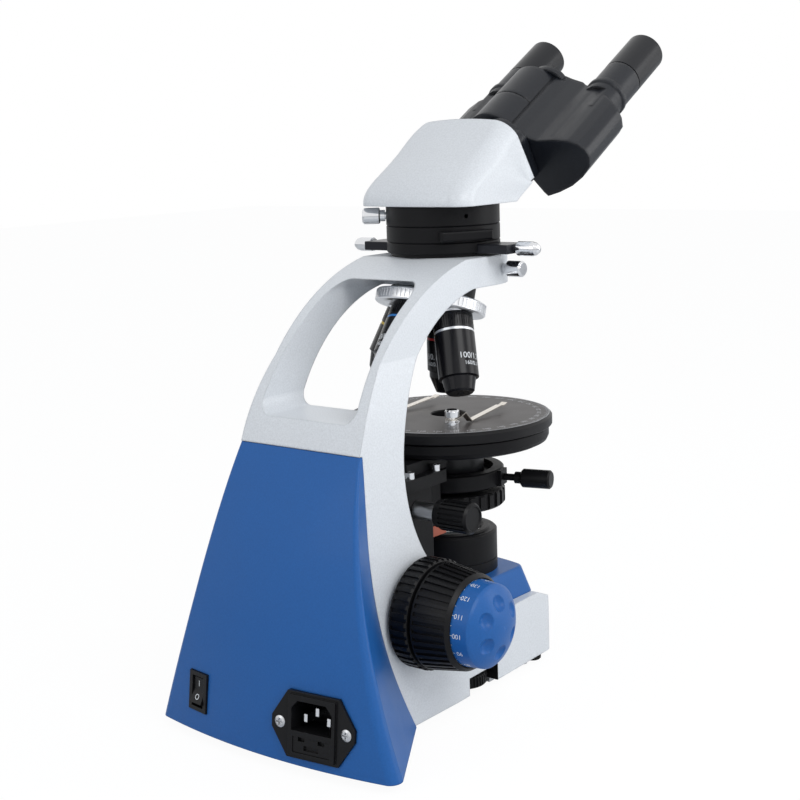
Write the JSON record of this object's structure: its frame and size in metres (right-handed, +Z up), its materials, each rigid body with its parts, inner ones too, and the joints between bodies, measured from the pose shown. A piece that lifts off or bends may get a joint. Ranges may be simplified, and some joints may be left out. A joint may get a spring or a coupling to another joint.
{
  "type": "polarizing microscope",
  "caption": "Upright polarizing microscope with a round turning stage, leaning turret of objectives, analyzer slider, coaxial focus knobs and an inclined binocular head.",
  "frame": {"origin": "on the table under the middle of the outline seen from above; the optical axis meets the table 1.4 mm in front of it towards +Y", "axes": "+Z up, along the optical axis; -Y towards the person at the eyepieces; +Y towards the mains inlet; +X to that person's right"},
  "size_m": [0.196, 0.3453, 0.3691],
  "materials": {
    "enamel_white": "satin",
    "satin_blue": "satin",
    "black_textured": "matte",
    "black_knob": "satin",
    "black_moulding": "satin",
    "eyepiece_black": "satin",
    "chrome_bright": "gloss",
    "steel_ground": "satin",
    "anodised_bar": "satin",
    "bush_brass": "satin",
    "foot_rubber": "matte",
    "lens_glass": "gloss",
    "ceramic": "matte"
  },
  "bodies": {
    "stand": {"stand_casting": "enamel_white", "rear_cover": "satin_blue", "front_cover": "satin_blue", "bottom_plate": "steel_ground", "rubber_feet": "foot_rubber", "base_screws": "steel_ground", "illuminator_drum": "black_textured", "field_lens": "lens_glass", "lamp_holder": "ceramic", "halogen_bulb": "lens_glass", "mains_inlet": "black_moulding", "inlet_pins": "chrome_bright", "inlet_screws": "steel_ground", "switch_frame": "black_moulding", "focus_bushes": "bush_brass", "focus_guide": "steel_ground", "nosepiece_base": "black_textured", "analyzer_housing": "black_textured", "compensator_ring": "black_textured", "slot_cover": "black_textured", "head_mount_ring": "black_textured"},
    "power_rocker": {"switch_rocker": "black_moulding"},
    "fuse_drawer": {"fuse_drawer": "black_moulding"},
    "lamp_dimmer": {"dimmer_wheel": "black_knob"},
    "tension_near": {"tension_ring_near": "black_knob"},
    "tension_far": {"tension_ring_far": "black_knob"},
    "stage_lift": {"stage_carriage": "black_textured", "focus_rack": "steel_ground", "stage_bracket": "black_textured", "bracket_screws": "chrome_bright", "stage_ring": "black_textured"},
    "coarse_drive": {"coarse_shaft": "steel_ground", "coarse_knobs": "black_knob"},
    "fine_drive": {"fine_knobs": "satin_blue"},
    "stage_table": {"stage_disc": "black_textured", "clip_posts": "chrome_bright"},
    "clip_near": {"stage_clip_near": "steel_ground"},
    "clip_far": {"stage_clip_far": "steel_ground"},
    "condenser_lift": {"condenser_carrier": "black_textured", "condenser_tube": "black_textured"},
    "condenser_drive": {"condenser_drive_shaft": "steel_ground", "condenser_knob": "black_knob"},
    "polarizer": {"polarizer_ring": "black_knob"},
    "condenser_clamp": {"condenser_clamp": "black_knob"},
    "turret": {"nosepiece_turret": "steel_ground", "objective_4x": "eyepiece_black", "objective_10x": "eyepiece_black", "objective_40x": "eyepiece_black", "objective_100x": "eyepiece_black"},
    "analyzer": {"analyzer_slider": "anodised_bar", "slider_knobs": "chrome_bright"},
    "head": {"head_housing": "enamel_white", "hinge_hub": "black_textured", "hinge_barrel": "anodised_bar"},
    "head_clamp": {"head_clamp": "chrome_bright"},
    "arm_clamp": {"arm_clamp": "chrome_bright"},
    "prism_near": {"prism_box_near": "black_textured"},
    "prism_far": {"prism_box_far": "black_textured"},
    "eyepiece_near": {"eyepiece_near": "eyepiece_black"},
    "eyepiece_far": {"eyepiece_far": "eyepiece_black"}
  },
  "joints": [
    {"name": "stage_focus", "type": "slide", "parent": "stand", "child": "stage_lift", "axis": [0, 0, 1], "range_m": [-0.007, 0.007]},
    {"name": "coarse_focus", "type": "hinge", "parent": "stand", "child": "coarse_drive", "pos_m": [0, 0.09038, 0.067], "axis": [1, 0, 0], "range_deg": [-51.6, 51.6]},
    {"name": "fine_focus", "type": "hinge", "parent": "stand", "child": "fine_drive", "pos_m": [0, 0.09038, 0.067], "axis": [1, 0, 0], "continuous": true},
    {"name": "tension_near", "type": "hinge", "parent": "stand", "child": "tension_near", "pos_m": [-0.052, 0.09038, 0.067], "axis": [1, 0, 0], "range_deg": [0, 60]},
    {"name": "tension_far", "type": "hinge", "parent": "stand", "child": "tension_far", "pos_m": [0.052, 0.09038, 0.067], "axis": [1, 0, 0], "range_deg": [-60, 0]},
    {"name": "stage_turn", "type": "hinge", "parent": "stage_lift", "child": "stage_table", "pos_m": [0, 0.00138, 0.15], "axis": [0, 0, 1], "continuous": true},
    {"name": "clip_near_swing", "type": "hinge", "parent": "stage_table", "child": "clip_near", "pos_m": [-0.028, 0.03538, 0.158], "axis": [0, 0, 1], "range_deg": [-20, 60]},
    {"name": "clip_far_swing", "type": "hinge", "parent": "stage_table", "child": "clip_far", "pos_m": [0.028, 0.03538, 0.158], "axis": [0, 0, 1], "range_deg": [-60, 20]},
    {"name": "condenser_focus", "type": "slide", "parent": "stage_lift", "child": "condenser_lift", "axis": [0, 0, 1], "range_m": [-0.006, 0]},
    {"name": "condenser_drive", "type": "hinge", "parent": "stage_lift", "child": "condenser_drive", "pos_m": [-0.03, 0.05938, 0.1115], "axis": [1, 0, 0], "range_deg": [0, 74.8]},
    {"name": "polarizer_turn", "type": "hinge", "parent": "condenser_lift", "child": "polarizer", "pos_m": [0, 0.00138, 0.105], "axis": [0, 0, 1], "continuous": true},
    {"name": "condenser_clamp", "type": "hinge", "parent": "condenser_lift", "child": "condenser_clamp", "pos_m": [-0.03864, -0.00897, 0.11765], "axis": [-0.9659, -0.2588, 0], "range_deg": [0, 120]},
    {"name": "nosepiece_turn", "type": "hinge", "parent": "stand", "child": "turret", "pos_m": [0, 0.01498, 0.21905], "axis": [0, -0.309, 0.9511], "continuous": true},
    {"name": "analyzer_slide", "type": "slide", "parent": "stand", "child": "analyzer", "axis": [1, 0, 0], "range_m": [-0.017, 0.017]},
    {"name": "head_turn", "type": "hinge", "parent": "stand", "child": "head", "pos_m": [0, 0.00138, 0.27], "axis": [0, 0, 1], "continuous": true},
    {"name": "head_clamp", "type": "hinge", "parent": "stand", "child": "head_clamp", "pos_m": [0.03236, 0.02489, 0.2685], "axis": [0.809, 0.5878, 0], "range_deg": [0, 180]},
    {"name": "arm_clamp", "type": "hinge", "parent": "stand", "child": "arm_clamp", "pos_m": [-0.042, -0.00662, 0.238], "axis": [-1, 0, 0], "range_deg": [0, 180]},
    {"name": "eye_distance_near", "type": "hinge", "parent": "head", "child": "prism_near", "pos_m": [0, -0.05832, 0.30839], "axis": [0, -0.866, 0.5], "range_deg": [-7, 27]},
    {"name": "eye_distance_far", "type": "hinge", "parent": "head", "child": "prism_far", "pos_m": [0, -0.11202, 0.33939], "axis": [0, -0.866, 0.5], "range_deg": [-27, 7]},
    {"name": "eyepiece_near_turn", "type": "hinge", "parent": "prism_near", "child": "eyepiece_near", "pos_m": [-0.036, -0.14585, 0.3468], "axis": [0, -0.866, 0.5], "continuous": true},
    {"name": "eyepiece_far_turn", "type": "hinge", "parent": "prism_far", "child": "eyepiece_far", "pos_m": [0.036, -0.14585, 0.3468], "axis": [0, -0.866, 0.5], "continuous": true},
    {"name": "power_rocker", "type": "hinge", "parent": "stand", "child": "power_rocker", "pos_m": [0.04719, 0.16222, 0.02627], "axis": [0.9877, -0.1564, 0], "range_deg": [-18, 0]},
    {"name": "fuse_drawer", "type": "slide", "parent": "stand", "child": "fuse_drawer", "axis": [-0.1125, 0.9872, 0.1132], "range_m": [0, 0.018]},
    {"name": "lamp_dimmer", "type": "hinge", "parent": "stand", "child": "lamp_dimmer", "pos_m": [-0.0303, 0.03508, 0.01], "axis": [0, 0, 1], "range_deg": [0, 270]}
  ],
  "couplings": [
    {"joint": "coarse_focus", "follows": "stage_focus", "rad_per_m": -128.2},
    {"joint": "condenser_drive", "follows": "condenser_focus", "rad_per_m": -217.4},
    {"joint": "eye_distance_far", "follows": "eye_distance_near", "ratio": -1}
  ]
}
